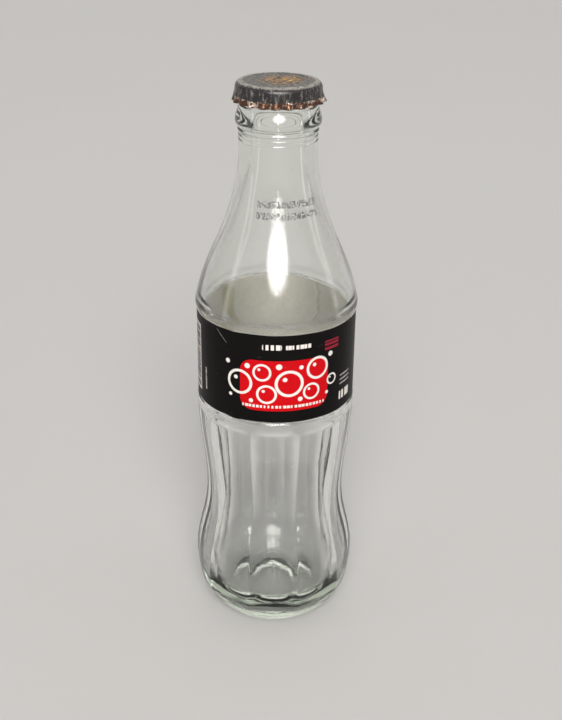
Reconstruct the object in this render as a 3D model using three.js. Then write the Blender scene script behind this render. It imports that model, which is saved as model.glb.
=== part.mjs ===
// A small glass soda bottle that stands empty, with its crown cap set back on its mouth and a
// label wrapped round its panel. Millimetres, +Z up. The origin is the middle of the bearing ring
// that the bottle stands on, and the middle of the label's front faces -Y.

import * as THREE from 'three';

// ---- Glass: the height of each band, stacked from the bearing ring to the mouth ----
const bulgeHeight = 22; // bearing ring to the widest line
const bulgeToWaist = 28;
const waistToRing = 36.3; // waist to the smooth ring over the flutes
const ringHeight = 3;
const ledgeHeight = 0.5; // step from a ring into the label's panel
const panelHeight = 33.4;
const bumperRise = 1.5; // panel to the crest of the bumper roll
const bumperFall = 2.3; // crest of the roll to the start of the shoulder
const shoulderHeight = 19;
const neckHeight = 33.6;
const bandStart = 1; // top of the neck to the first of the fine bands under the collar
const bandPitch = 1.6;
const bandToCollar = 1;
const collarCrestRise = 2.2; // foot of the collar to its widest line
const collarHeight = 7.6;
const undercutFlare = 1.2; // from the undercut out to the locking ring
const lockRingHeight = 3.4; // the ring that a crown is crimped under, with that flare
const mouthRounding = 2; // height of the round from the locking ring to the mouth

// ---- Glass: radii of the outside, with the lean of the wall (mm out per mm up) ----
const bearingInner = 15.2;
const bearingOuter = 18.7;
const heelRise = 0.8;
const heelRun = 1;
const heelLean = 1.2;
const bulgeRadius = 29.3;
const waistRadius = 25.05;
const ringRadius = 27.8;
const panelRadius = 27.3;
const bumperRadius = 28;
const bumperProud = 0.55; // how far the roll stands out of the shoulder
const bumperLean = -0.22;
const throatRadius = 20.6; // where the shoulder's curve turns into the neck's
const throatLean = -0.46;
const neckRadius = 12.9;
const bands = [
  { proud: 0.15, half: 0.35 },
  { proud: 0.15, half: 0.35 },
  { proud: 0.35, half: 0.7 },
]; // two thin lines, and a bead next to the collar
const collarRadius = 14.05;
const undercutRadius = 12.8;
const lockRingRadius = 13.3;
const mouthRadius = 11.2; // outer edge of the flat sealing land
const boreRadius = 8.3;
const boreRound = 0.8;

// ---- Glass: flutes, walls and base ----
const fluteCount = 10;
const fluteDepth = 1;
const fluteFadeLow = 8; // the flutes rise out of the heel between these two heights
const fluteFadeHigh = 22;
const fluteTopFade = 1.9; // and end this far under the smooth ring
const wall = 2.6;
const pushUp = 3.2; // height of the hollow under the base
const baseThickness = 5;
const floorCrown = 0.8; // how much the floor inside rises to its middle
const floorRadius = 14;
const boreLength = 14;

// ---- Crown cap ----
const crownFlutes = 21;
const crownSheet = 0.25;
const crownDepth = 6.25;
const crownCorner = 2;
const crownClearance = 0.3; // skirt to locking ring, so that the loose cap lifts off
const crownFluteSwing = 0.6; // half the depth of a flute at the foot of the skirt
const crownTaper = 0.45; // how far the skirt spreads from its corner to its foot
const crownPlainDepth = 2.2; // the flutes start this far under the top

// ---- Liner in the crown ----
const linerWeb = 0.45;
const linerBead = 0.9;
const linerBeadOverlap = 0.6; // the bead is this much wider than the sealing land, each side
const linerBevel = 0.5;

// ---- Label and its two strips of glue ----
const labelThickness = 0.1;
const labelMargin = 0.6; // bare glass between the label's edges and its panel's ends
const labelLap = 8;
const labelRamp = 6; // length over which the outer end climbs on to the inner one
const labelStartAngle = 126; // plan angle of the inner end, in degrees
const glueThickness = 0.1;
const glueWidth = 5;
const glueInset = 1.2; // glue to the nearest edge of the label

// ---- Fits and fineness ----
const fitGap = 0.05; // between pieces that lie against each other
const handleShare = 0.36; // reach of a wall curve's handles, as a share of its height
const stepsPerFlute = 4;
const stepsPerCrownFlute = 4;
const linerSides = 48;
const labelStep = 3; // degrees

// ---- Heights that follow from the bands ----
const waistZ = bulgeHeight + bulgeToWaist;
const ringZ = waistZ + waistToRing;
const panelZ = ringZ + ringHeight + ledgeHeight;
const panelTopZ = panelZ + panelHeight;
const bumperZ = panelTopZ + bumperRise;
const shoulderZ = bumperZ + bumperFall;
const throatZ = shoulderZ + shoulderHeight;
const neckTopZ = throatZ + neckHeight;
const collarZ = neckTopZ + bandStart + (bands.length - 1) * bandPitch + bandToCollar;
const undercutZ = collarZ + collarHeight;
const lockRingZ = undercutZ + lockRingHeight;
const mouthZ = lockRingZ + mouthRounding;

const point = (r, z) => new THREE.Vector2(r, z);

/** Points of a smooth wall that runs up through stations of height z, radius r and lean. */
function wallPoints(stations, steps) {
  const points = [];
  for (let i = 1; i < stations.length; i += 1) {
    const from = stations[i - 1];
    const to = stations[i];
    const reach = handleShare * (to.z - from.z);
    const curve = new THREE.CubicBezierCurve(
      point(from.r, from.z),
      point(from.r + from.lean * reach, from.z + reach),
      point(to.r - to.lean * reach, to.z - reach),
      point(to.r, to.z),
    );
    points.push(...curve.getPoints(steps).slice(i > 1 ? 1 : 0));
  }
  return points;
}

/** Points of a quarter round from one point to another, leaving the first one sideways. */
function quarterRound(from, to, steps, sidewaysFirst) {
  const points = [];
  for (let i = 0; i <= steps; i += 1) {
    const turn = (Math.PI / 2) * (i / steps);
    const first = Math.sin(turn);
    const second = 1 - Math.cos(turn);
    const across = sidewaysFirst ? first : second;
    const along = sidewaysFirst ? second : first;
    points.push(point(from.x + (to.x - from.x) * across, from.y + (to.y - from.y) * along));
  }
  return points;
}

/** Drops a point that repeats the one before it. */
function withoutRepeats(points) {
  return points.filter((p, i) => i === 0 || p.distanceTo(points[i - 1]) > 1e-6);
}

/** Spins a profile round Z. moved(r, z, angle, index) gives the radius of each vertex. */
function spin(profile, sides, moved = (r) => r) {
  const geometry = new THREE.LatheGeometry(profile, sides);
  geometry.rotateX(Math.PI / 2);
  const places = geometry.attributes.position;
  for (let i = 0; i < places.count; i += 1) {
    const x = places.getX(i);
    const y = places.getY(i);
    const r = Math.hypot(x, y);
    if (r > 0) {
      const share = moved(r, places.getZ(i), Math.atan2(y, x), i % profile.length) / r;
      places.setXY(i, x * share, y * share);
    }
  }
  return geometry;
}

// ---- Bottle ----

/** The flutes' depth at a height: they fade in over the heel and stop under the smooth ring. */
function fluteDepthAt(z) {
  const heel = THREE.MathUtils.smoothstep(z, fluteFadeLow, fluteFadeHigh);
  const top = 1 - THREE.MathUtils.smoothstep(z, ringZ - fluteTopFade, ringZ);
  return fluteDepth * heel * top;
}

/** How far across a flute an angle lies: 0 on a ridge, 1 in the middle. A flute faces -Y. */
function fluteSweep(angle) {
  const turn = (((angle + Math.PI / 2) * fluteCount) / (2 * Math.PI)) % 1;
  const offset = Math.abs(((turn + 1.5) % 1) - 0.5) * 2;
  return 1 - offset * offset;
}

const heelStation = { z: heelRise, r: bearingOuter + heelRun, lean: heelLean };
const bulgeStation = { z: bulgeHeight, r: bulgeRadius, lean: 0 };
const waistStation = { z: waistZ, r: waistRadius, lean: 0 };
const ringStation = { z: ringZ, r: ringRadius, lean: 0 };
const shoulderStation = { z: shoulderZ, r: bumperRadius - bumperProud, lean: bumperLean };
const throatStation = { z: throatZ, r: throatRadius, lean: throatLean };
const neckStation = { z: neckTopZ, r: neckRadius, lean: 0 };

function underside() {
  const steps = 4;
  const points = [];
  for (let i = 0; i <= steps; i += 1) {
    const share = i / steps;
    points.push(point(bearingInner * share, pushUp * Math.cos((Math.PI / 2) * share)));
  }
  points[steps].y = 0;
  points.push(point(bearingOuter, 0));
  return points;
}

function body() {
  const fluted = wallPoints([heelStation, bulgeStation, waistStation, ringStation], 6);
  const flutesEnd = fluted.pop();
  const ledge = point(flutesEnd.x, ringZ - fluteTopFade);
  return [
    ...fluted,
    ledge,
    flutesEnd,
    point(ringRadius, ringZ + ringHeight),
    point(panelRadius, panelZ),
    point(panelRadius, panelTopZ),
  ];
}

function shoulderAndNeck() {
  const crest = point(bumperRadius, bumperZ);
  const bumperStation = { z: bumperZ, r: bumperRadius, lean: 0 };
  return [
    ...quarterRound(point(panelRadius, panelTopZ), crest, 2, true),
    ...wallPoints([bumperStation, shoulderStation], 2),
    ...wallPoints([shoulderStation, throatStation, neckStation], 6),
  ];
}

function fineBands() {
  return bands.flatMap((band, i) => {
    const z = neckTopZ + bandStart + i * bandPitch;
    return [
      point(neckRadius, z - band.half),
      point(neckRadius + band.proud, z),
      point(neckRadius, z + band.half),
    ];
  });
}

function finish() {
  const collarCrest = { z: collarZ + collarCrestRise, r: collarRadius, lean: 0 };
  const undercut = { z: undercutZ, r: undercutRadius, lean: 0 };
  const lockFoot = point(lockRingRadius, undercutZ + undercutFlare);
  const lockTop = point(lockRingRadius, lockRingZ);
  return [
    ...quarterRound(point(neckRadius, collarZ), point(collarRadius, collarCrest.z), 3, true),
    ...wallPoints([collarCrest, undercut], 3),
    lockFoot,
    ...quarterRound(lockTop, point(mouthRadius, mouthZ), 3, false),
    point(boreRadius + boreRound, mouthZ),
    point(boreRadius, mouthZ - boreRound),
  ];
}

/** A station on the inside, one wall in from the outside and half way into the flutes. */
function inset(station) {
  const slant = Math.hypot(1, station.lean);
  const flutes = fluteDepthAt(station.z) / 2;
  return { z: station.z, r: station.r - wall * slant - flutes, lean: station.lean };
}

function inside() {
  const bulge = inset(bulgeStation);
  const shoulder = inset(shoulderStation);
  const boreEnd = { z: mouthZ - boreLength, r: boreRadius, lean: 0 };
  const rising = [
    ...wallPoints([bulge, inset(waistStation), inset(ringStation)], 4),
    ...wallPoints([shoulder, inset(throatStation), boreEnd], 4),
  ];
  const floorZ = pushUp + baseThickness;
  const floorEdge = point(floorRadius, floorZ - floorCrown);
  const heel = quarterRound(floorEdge, point(bulge.r, bulge.z), 5, true);
  return [point(0, floorZ), ...heel, ...rising].reverse();
}

function bottleGlass() {
  const lower = [...underside(), ...body()];
  const upper = [...shoulderAndNeck(), ...fineBands(), ...finish()];
  const outside = withoutRepeats([...lower, ...upper]);
  const profile = withoutRepeats([...outside, ...inside()]);
  return spin(profile, fluteCount * stepsPerFlute, (r, z, angle, index) => {
    const cut = index < outside.length ? fluteDepthAt(z) * fluteSweep(angle) : 0;
    return r - cut;
  });
}

// ---- Crown and liner: the liner rests on the mouth, and the crown on the liner ----

const linerFootZ = mouthZ + fitGap;
const linerTopZ = linerFootZ + linerBead;
const crownTopZ = linerTopZ + fitGap + crownSheet;
const crownFootZ = crownTopZ - crownDepth;
const footValley = lockRingRadius + crownClearance + crownSheet; // the flutes' nearest to the glass
const skirtRadius = footValley + crownFluteSwing - crownTaper;

/** The sheet of the crown from the middle of its top to its foot, as its outer face. */
function crownFace() {
  const corner = point(skirtRadius - crownCorner, crownTopZ);
  const skirtTop = point(skirtRadius, crownTopZ - crownCorner);
  const skirt = [];
  const steps = 4;
  for (let i = 1; i <= steps; i += 1) {
    const share = i / steps;
    skirt.push(point(skirtRadius + crownTaper * share, skirtTop.y + (crownFootZ - skirtTop.y) * share));
  }
  return [point(0, crownTopZ), ...quarterRound(corner, skirtTop, 3, true), ...skirt];
}

/** The same sheet's inner face: each point moved one sheet's thickness square to the face. */
function innerFace(face) {
  return face.map((p, i) => {
    const before = face[Math.max(i - 1, 0)];
    const after = face[Math.min(i + 1, face.length - 1)];
    const along = after.clone().sub(before).normalize();
    return point(Math.max(p.x + along.y * crownSheet, 0), p.y - along.x * crownSheet);
  });
}

function crownShell() {
  const face = crownFace();
  const lining = innerFace(face);
  lining[0].set(0, crownTopZ - crownSheet);
  const profile = [...lining, ...face.slice().reverse()];
  const plainZ = crownTopZ - crownPlainDepth;
  return spin(profile, crownFlutes * stepsPerCrownFlute, (r, z, angle) => {
    const depth = THREE.MathUtils.clamp((plainZ - z) / (plainZ - crownFootZ), 0, 1);
    return r + crownFluteSwing * depth * Math.cos(crownFlutes * angle);
  });
}

function crownLiner() {
  const beadInner = boreRadius + boreRound - linerBeadOverlap;
  const beadOuter = mouthRadius + linerBeadOverlap;
  const profile = [
    point(0, linerTopZ - linerWeb),
    point(beadInner, linerTopZ - linerWeb),
    point(beadInner + linerBevel, linerFootZ),
    point(beadOuter - linerBevel, linerFootZ),
    point(beadOuter, linerFootZ + linerBevel),
    point(beadOuter, linerTopZ),
    point(0, linerTopZ),
  ];
  return spin(profile, linerSides);
}

// ---- Label: one strip that laps over its own start, and glue under its two ends ----

const gluedLayer = glueThickness + 2 * fitGap;
const labelRadius = panelRadius + gluedLayer;
const lapRise = labelThickness + gluedLayer;
const labelHeight = panelHeight - 2 * labelMargin;
const degreesPerMm = 180 / (Math.PI * labelRadius);

/** The label's inner radius at an angle counted from its inner end, in degrees. */
function labelRadiusAt(angle) {
  const climb = (angle - 360 + labelRamp * degreesPerMm) / (labelRamp * degreesPerMm);
  return labelRadius + lapRise * THREE.MathUtils.clamp(climb, 0, 1);
}

/** A thin curved strip that stands up from z, following radiusAt between two angles. */
function curvedStrip(fromAngle, toAngle, radiusAt, thickness, z, height) {
  const steps = Math.ceil((toAngle - fromAngle) / labelStep);
  const inner = [];
  const outer = [];
  for (let i = 0; i <= steps; i += 1) {
    const angle = fromAngle + ((toAngle - fromAngle) * i) / steps;
    const turn = THREE.MathUtils.degToRad(labelStartAngle + angle);
    const direction = point(Math.cos(turn), Math.sin(turn));
    const r = radiusAt(angle);
    inner.push(direction.clone().multiplyScalar(r));
    outer.push(direction.multiplyScalar(r + thickness));
  }
  const outline = new THREE.Shape([...outer, ...inner.reverse()]);
  const geometry = new THREE.ExtrudeGeometry(outline, { depth: height, bevelEnabled: false });
  return geometry.translate(0, 0, z);
}

function labelStrip() {
  const end = 360 + labelLap * degreesPerMm;
  return curvedStrip(0, end, labelRadiusAt, labelThickness, panelZ + labelMargin, labelHeight);
}

/** A glue strip as tall as the label less its inset, from an angle on, at one inner radius. */
function glueStrip(fromAngle, radius) {
  const z = panelZ + labelMargin + glueInset;
  const toAngle = fromAngle + glueWidth * degreesPerMm;
  return curvedStrip(fromAngle, toAngle, () => radius, glueThickness, z, labelHeight - 2 * glueInset);
}

const glueStart = glueInset * degreesPerMm;
const pickupGlueRadius = panelRadius + fitGap;
const lapGlueRadius = labelRadius + labelThickness + fitGap;

// ---- Materials ----

const clearGlass = { color: 0xcfd8cc, roughness: 0.08, metalness: 0, transparent: true, opacity: 0.35 };
const blackEnamel = { color: 0x2b2a2c, roughness: 0.45, metalness: 0.6 };
const softLiner = { color: 0xb9bcb8, roughness: 0.6, metalness: 0 };
const blackPrint = { color: 0x0d0b0c, roughness: 0.4, metalness: 0 };
const hotMelt = { color: 0xd9cfae, roughness: 0.5, metalness: 0 };

function piece(name, geometry, look) {
  const mesh = new THREE.Mesh(geometry, new THREE.MeshStandardMaterial(look));
  mesh.name = name;
  return mesh;
}

const group = new THREE.Group();
group.add(piece('bottle_glass', bottleGlass(), clearGlass));
group.add(piece('label', labelStrip(), blackPrint));
group.add(piece('label_pickup_glue', glueStrip(glueStart, pickupGlueRadius), hotMelt));
group.add(piece('label_lap_glue', glueStrip(glueStart, lapGlueRadius), hotMelt));
group.add(piece('crown_liner', crownLiner(), softLiner));
group.add(piece('crown_shell', crownShell(), blackEnamel));

export default group;
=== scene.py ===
"""A small glass soda bottle with its label and crown cap, built around its fixed frame."""

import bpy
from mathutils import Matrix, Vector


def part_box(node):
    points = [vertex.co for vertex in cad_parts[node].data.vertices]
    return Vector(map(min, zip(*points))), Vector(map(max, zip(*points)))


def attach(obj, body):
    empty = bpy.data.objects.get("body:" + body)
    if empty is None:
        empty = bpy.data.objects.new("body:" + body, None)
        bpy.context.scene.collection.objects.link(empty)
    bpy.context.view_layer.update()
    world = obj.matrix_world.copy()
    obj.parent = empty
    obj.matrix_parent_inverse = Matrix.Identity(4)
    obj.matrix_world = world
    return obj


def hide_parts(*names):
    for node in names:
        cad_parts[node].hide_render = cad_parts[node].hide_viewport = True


bl_info = {
    "name": "Glass soda bottle",
    "version": (1, 0, 0),
    "blender": (4, 5, 0),
    "location": "3D View > Sidebar > Bottle",
    "description": "Builds a fluted glass soda bottle with its label and crown cap",
    "category": "Add Mesh",
}

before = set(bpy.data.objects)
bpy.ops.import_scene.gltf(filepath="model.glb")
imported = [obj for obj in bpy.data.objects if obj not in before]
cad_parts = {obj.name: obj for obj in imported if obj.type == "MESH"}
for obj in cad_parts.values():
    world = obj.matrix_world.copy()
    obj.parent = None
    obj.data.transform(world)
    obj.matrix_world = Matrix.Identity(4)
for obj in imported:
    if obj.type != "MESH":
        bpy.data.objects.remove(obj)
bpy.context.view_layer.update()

import math
from collections import namedtuple

import bpy
import numpy as np
from mathutils import Matrix, Vector

MM = 0.001
TURN = 2 * math.pi

# ---- What the frame says ----

GLASS_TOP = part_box("bottle_glass")[1].z
GLASS_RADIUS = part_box("bottle_glass")[1].x
LABEL_LOW, LABEL_HIGH = (corner.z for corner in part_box("label"))
CROWN_FOOT, CROWN_TOP = (corner.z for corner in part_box("crown_shell"))
LINER_FOOT, LINER_TOP = (corner.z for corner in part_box("crown_liner"))
LINER_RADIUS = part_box("crown_liner")[1].x

Station = namedtuple("Station", "z r lean")


# ---- Settings ----


def length(name, description, default):
    """A size property in metres."""
    return bpy.props.FloatProperty(
        name=name,
        description=description,
        default=default,
        unit="LENGTH",
        subtype="DISTANCE",
        precision=5,
    )


def colour(name, description, default):
    """A colour property."""
    return bpy.props.FloatVectorProperty(
        name=name,
        description=description,
        default=default,
        subtype="COLOR",
        size=3,
        min=0.0,
        max=1.0,
    )


def degrees(name, description, default):
    """An angle property, with its default in degrees."""
    return bpy.props.FloatProperty(
        name=name,
        description=description,
        default=math.radians(default),
        subtype="ANGLE",
    )


def number(name, description, default):
    """A plain number property."""
    return bpy.props.FloatProperty(name=name, description=description, default=default)


def count(name, description, default):
    """A property that counts repeats round the object."""
    return bpy.props.IntProperty(name=name, description=description, default=default, min=3)


class GlassSettings(bpy.types.PropertyGroup):
    """Sizes of the glass: heights are of bands stacked from the bearing ring up."""

    bulge_height: length("Bulge height", "Bearing ring to the widest line", 22 * MM)
    bulge_to_waist: length("Bulge to waist", "Widest line to the waist", 28 * MM)
    waist_to_ring: length("Waist to ring", "Waist to the ring over the flutes", 36.3 * MM)
    ring_height: length("Ring height", "Height of the smooth ring", 3 * MM)
    panel_margin: length("Panel margin", "Bare glass above and under the label", 0.6 * MM)
    bumper_rise: length("Bumper rise", "Panel to the crest of the roll", 1.5 * MM)
    bumper_fall: length("Bumper fall", "Crest of the roll to the shoulder", 2.3 * MM)
    shoulder_height: length("Shoulder height", "Shoulder up to the throat", 19 * MM)
    neck_height: length("Neck height", "Throat to the foot of the finish", 33.6 * MM)
    collar_height: length("Collar height", "Collar's foot to its undercut", 7.6 * MM)
    waist_radius: length("Waist radius", "Radius at the waist", 25.05 * MM)
    ring_radius: length("Ring radius", "Radius of the smooth ring", 27.8 * MM)
    panel_radius: length("Panel radius", "Radius of the glass under the label", 27.3 * MM)
    bumper_radius: length("Bumper radius", "Radius of the roll's crest", 28 * MM)
    throat_radius: length("Throat radius", "Radius where the shoulder meets the neck", 20.6 * MM)
    neck_radius: length("Neck radius", "Radius of the neck's top", 12.9 * MM)
    collar_radius: length("Collar radius", "Radius of the collar's crest", 14.05 * MM)
    lock_ring_radius: length("Locking ring radius", "Ring that the crown grips", 13.3 * MM)
    bore_radius: length("Bore radius", "Radius of the mouth's hole", 8.3 * MM)
    wall: length("Wall", "Thickness of the glass", 2.6 * MM)
    push_up: length("Push-up", "Height of the hollow under the base", 3.2 * MM)
    base_thickness: length("Base thickness", "Glass in the middle of the base", 5 * MM)
    flute_count: count("Flutes", "Flutes round the lower body", 10)
    flute_depth: length("Flute depth", "Depth in the middle of a flute", 1 * MM)
    wave_depth: length("Inner waves", "Unevenness of the blown inner wall", 0.35 * MM)
    tint: colour("Tint", "Colour of the glass where it is thick", (0.82, 0.905, 0.79))


class CrownSettings(bpy.types.PropertyGroup):
    """Sizes and colours of the crown cap and its liner."""

    sheet: length("Sheet", "Thickness of the crown's steel", 0.25 * MM)
    corner: length("Corner", "Radius between the top and the skirt", 2 * MM)
    skirt_radius: length("Skirt radius", "Radius at the top of the skirt", 14 * MM)
    taper: length("Taper", "How far the skirt spreads to its foot", 0.45 * MM)
    flute_count: count("Flutes", "Flutes round the skirt", 21)
    flute_swing: length("Flute swing", "Half the depth of a flute", 0.6 * MM)
    plain_depth: length("Plain depth", "Height of the skirt without flutes", 2.2 * MM)
    pry_spread: length("Pry spread", "How far the opener bent the skirt out", 0.5 * MM)
    enamel: colour("Enamel", "Colour of the enamel", (0.012, 0.011, 0.012))
    rust: colour("Rust", "Colour of the rust", (0.36, 0.185, 0.06))
    liner: colour("Liner", "Colour of the liner", (0.55, 0.56, 0.54))


class LabelSettings(bpy.types.PropertyGroup):
    """Sizes and colours of the label."""

    thickness: length("Thickness", "Thickness of the film", 0.1 * MM)
    start_angle: degrees("Start angle", "Plan angle of the label's inner end", 126)
    lap: length("Lap", "How far the label laps over its start", 8 * MM)
    ramp: length("Ramp", "Length over which the outer end climbs", 6 * MM)
    ground: colour("Ground", "Colour of the label", (0.0018, 0.0016, 0.0018))
    panel: colour("Panel", "Colour of the label's panel", (0.38, 0.002, 0.005))
    print_white: colour("White", "Colour of the white print", (0.50, 0.475, 0.455))
    backing: colour("Backing", "Colour of the film's inner side", (0.97, 0.92, 0.84))


class StageSettings(bpy.types.PropertyGroup):
    """The floor, the light and the camera."""

    camera_distance: length("Camera distance", "Level distance to the bottle", 351.4 * MM)
    camera_height: length("Camera height", "Height above the floor", 271.5 * MM)
    pitch: degrees("Pitch", "How far the camera looks down", 25.94)
    yaw: degrees("Yaw", "How far the camera turns to the right", 0.30)
    roll: degrees("Roll", "How far the camera leans to the left", 0.75)
    lens: number("Lens", "Focal length in millimetres", 55.0)
    key_power: number("Key power", "Power of the small light by the camera", 0.45)
    front_strength: number("Front strength", "Strength of the soft light behind the camera", 22.0)
    sky_strength: number("Sky strength", "Strength of the soft light all round", 0.60)
    floor_colour: colour("Floor", "Colour of the floor", (0.345, 0.343, 0.340))


# ---- Node graphs ----


class Graph:
    """Adds nodes to a tree and links them, with plain values or sockets as inputs."""

    def __init__(self, tree):
        self.tree = tree

    def add(self, kind, **settings):
        node = self.tree.nodes.new(kind)
        for name, value in settings.items():
            setattr(node, name, value)
        return node

    def feed(self, socket, value):
        if isinstance(value, bpy.types.NodeSocket):
            self.tree.links.new(value, socket)
        else:
            socket.default_value = value

    def math(self, operation, *values, clamp=False):
        node = self.add("ShaderNodeMath", operation=operation, use_clamp=clamp)
        for socket, value in zip(node.inputs, values):
            self.feed(socket, value)
        return node.outputs[0]

    def plus(self, a, b):
        return self.math("ADD", a, b)

    def minus(self, a, b):
        return self.math("SUBTRACT", a, b)

    def times(self, a, *others):
        for other in others:
            a = self.math("MULTIPLY", a, other)
        return a

    def over(self, a, b):
        return self.math("DIVIDE", a, b)

    def most(self, a, *others):
        for other in others:
            a = self.math("MAXIMUM", a, other)
        return a

    def step(self, value, start, end, low=0.0, high=1.0):
        """A smooth step from low to high as value goes from start to end."""
        node = self.add("ShaderNodeMapRange", interpolation_type="SMOOTHSTEP")
        for socket, given in zip(node.inputs, (value, start, end, low, high)):
            self.feed(socket, given)
        return node.outputs[0]

    def fall(self, value, start, end):
        """A smooth step from 1 down to 0 as value goes from start to end."""
        return self.step(value, start, end, 1.0, 0.0)

    def ramp(self, value, start, end, low=0.0, high=1.0):
        """A straight, clamped ramp from low to high as value goes from start to end."""
        node = self.add("ShaderNodeMapRange")
        for socket, given in zip(node.inputs, (value, start, end, low, high)):
            self.feed(socket, given)
        return node.outputs[0]

    def near(self, value, middle, start, end):
        """1 where value is at the middle, and down to 0 as it goes from start to end away."""
        away = self.math("ABSOLUTE", self.minus(value, middle))
        return self.fall(away, start, end)

    def vector(self, operation, *values):
        node = self.add("ShaderNodeVectorMath", operation=operation)
        for socket, value in zip(node.inputs, values):
            self.feed(socket, value)
        return node.outputs["Value" if operation in ("LENGTH", "DISTANCE") else "Vector"]

    def parts(self, vector):
        node = self.add("ShaderNodeSeparateXYZ")
        self.feed(node.inputs[0], vector)
        return node.outputs

    def join(self, x, y, z):
        node = self.add("ShaderNodeCombineXYZ")
        for socket, value in zip(node.inputs, (x, y, z)):
            self.feed(socket, value)
        return node.outputs[0]

    def radius_and_angle(self, x, y):
        radius = self.math("SQRT", self.plus(self.times(x, x), self.times(y, y)))
        return radius, self.math("ARCTAN2", y, x)

    def noise(self, vector, scale, detail=2.0, roughness=0.5, distortion=0.0):
        node = self.add("ShaderNodeTexNoise")
        self.feed(node.inputs["Vector"], vector)
        self.feed(node.inputs["Scale"], scale)
        node.inputs["Detail"].default_value = detail
        node.inputs["Roughness"].default_value = roughness
        node.inputs["Distortion"].default_value = distortion
        return node.outputs[0]


class Look(Graph):
    """A material's nodes: one Principled shader, with helpers for what feeds it."""

    def __init__(self, name):
        self.material = bpy.data.materials.new(name)
        self.material.use_nodes = True
        super().__init__(self.material.node_tree)
        self.tree.nodes.clear()
        self.shader = self.add("ShaderNodeBsdfPrincipled")
        self.output = self.add("ShaderNodeOutputMaterial")
        self.tree.links.new(self.shader.outputs[0], self.output.inputs["Surface"])
        self.place = self.add("ShaderNodeTexCoord").outputs["Object"]

    def set(self, **values):
        """Sets or links the shader's sockets, with underscores for the spaces."""
        for name, value in values.items():
            socket = self.shader.inputs[name.replace("_", " ")]
            if isinstance(value, tuple) and len(value) == 3 and socket.type == "RGBA":
                value = (*value, 1.0)
            self.feed(socket, value)

    def mix(self, share, a, b):
        """Colour a where share is 0 and b where it is 1."""
        node = self.add("ShaderNodeMix", data_type="RGBA")
        self.feed(node.inputs[0], share)
        for socket, value in ((node.inputs[6], a), (node.inputs[7], b)):
            self.feed(socket, (*value, 1.0) if isinstance(value, tuple) else value)
        return node.outputs[2]

    def stretched(self, x, y, z):
        return self.vector("MULTIPLY", self.place, (x, y, z))

    def cells(self, vector, scale, feature="F1"):
        node = self.add("ShaderNodeTexVoronoi", feature=feature)
        self.feed(node.inputs["Vector"], vector)
        node.inputs["Scale"].default_value = scale
        return node.outputs[0]

    def bump(self, height, distance, strength=1.0, under=None):
        node = self.add("ShaderNodeBump")
        node.inputs["Strength"].default_value = strength
        node.inputs["Distance"].default_value = distance
        self.feed(node.inputs["Height"], height)
        if under is not None:
            self.feed(node.inputs["Normal"], under)
        return node.outputs[0]


# ---- Outlines: lists of (radius, height) ----


def wall_points(stations, steps, handle_share=0.36):
    """Points of a smooth wall that runs up through stations."""
    points = []
    for start, end in zip(stations, stations[1:]):
        reach = handle_share * (end.z - start.z)
        handles = (
            (start.r, start.z),
            (start.r + start.lean * reach, start.z + reach),
            (end.r - end.lean * reach, end.z - reach),
            (end.r, end.z),
        )
        for i in range(1 if points else 0, steps + 1):
            t = i / steps
            weights = ((1 - t) ** 3, 3 * t * (1 - t) ** 2, 3 * t * t * (1 - t), t**3)
            points.append(
                tuple(sum(w * h[axis] for w, h in zip(weights, handles)) for axis in (0, 1))
            )
    return points


def quarter_round(start, end, steps, sideways_first):
    """Points of a quarter round that leaves start sideways, or upright."""
    points = []
    for i in range(steps + 1):
        turn = math.pi / 2 * i / steps
        first, second = math.sin(turn), 1 - math.cos(turn)
        across, along = (first, second) if sideways_first else (second, first)
        points.append(
            (start[0] + (end[0] - start[0]) * across, start[1] + (end[1] - start[1]) * along)
        )
    return points


SHARP_CORNER = math.radians(12)


def eased(points, reach, steps=4):
    """The outline with every sharp corner cut back by up to reach and rounded."""
    outline = [points[0]]
    for before, corner, after in zip(points, points[1:], points[2:]):
        p, q, s = (Vector(v) for v in (before, corner, after))
        into, out = q - p, s - q
        if min(into.length, out.length) < 1e-7 or into.angle(out) < SHARP_CORNER:
            outline.append(corner)
            continue
        cut = min(reach, 0.45 * into.length, 0.45 * out.length)
        start, end = q - into.normalized() * cut, q + out.normalized() * cut
        for i in range(steps + 1):
            t = i / steps
            spot = start * (1 - t) ** 2 + q * 2 * t * (1 - t) + end * t * t
            outline.append(tuple(spot))
    outline.append(points[-1])
    return outline


def even(points, longest):
    """The outline with no repeated point, and with long spans divided."""
    outline = [points[0]]
    for point in points[1:]:
        last = outline[-1]
        span = math.dist(last, point)
        if span < 1e-6:
            continue
        pieces = math.ceil(span / longest)
        outline += [
            tuple(a + (b - a) * i / pieces for a, b in zip(last, point))
            for i in range(1, pieces + 1)
        ]
    return outline


def spun(name, outline, angles, outside_count=0):
    """A closed mesh from an outline that starts and ends on the axis.

    The first outside_count points of the outline are marked in the attribute outside.
    """
    rows = outline[1:-1]
    sides = len(angles)
    vertices = [(r * math.cos(a), r * math.sin(a), z) for r, z in rows for a in angles]
    vertices += [(0, 0, outline[0][1]), (0, 0, outline[-1][1])]
    first, last = len(vertices) - 2, len(vertices) - 1
    faces = []
    for row in range(len(rows) - 1):
        for k in range(sides):
            a, b = row * sides + k, row * sides + (k + 1) % sides
            faces.append((a, b, b + sides, a + sides))
    top = (len(rows) - 1) * sides
    for k in range(sides):
        faces.append((first, (k + 1) % sides, k))
        faces.append((last, top + k, top + (k + 1) % sides))
    mesh = bpy.data.meshes.new(name)
    mesh.from_pydata(vertices, [], faces)
    mesh.attributes.new("outside", "FLOAT", "POINT")
    marks = np.zeros(len(vertices), np.float32)
    marks[: max(outside_count - 1, 0) * sides] = 1.0
    mesh.attributes["outside"].data.foreach_set("value", marks)
    mesh.shade_smooth()
    return mesh


def round_angles(sides):
    """Evenly spaced angles round a full turn."""
    return [TURN * k / sides for k in range(sides)]


# ---- Pieces ----


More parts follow.
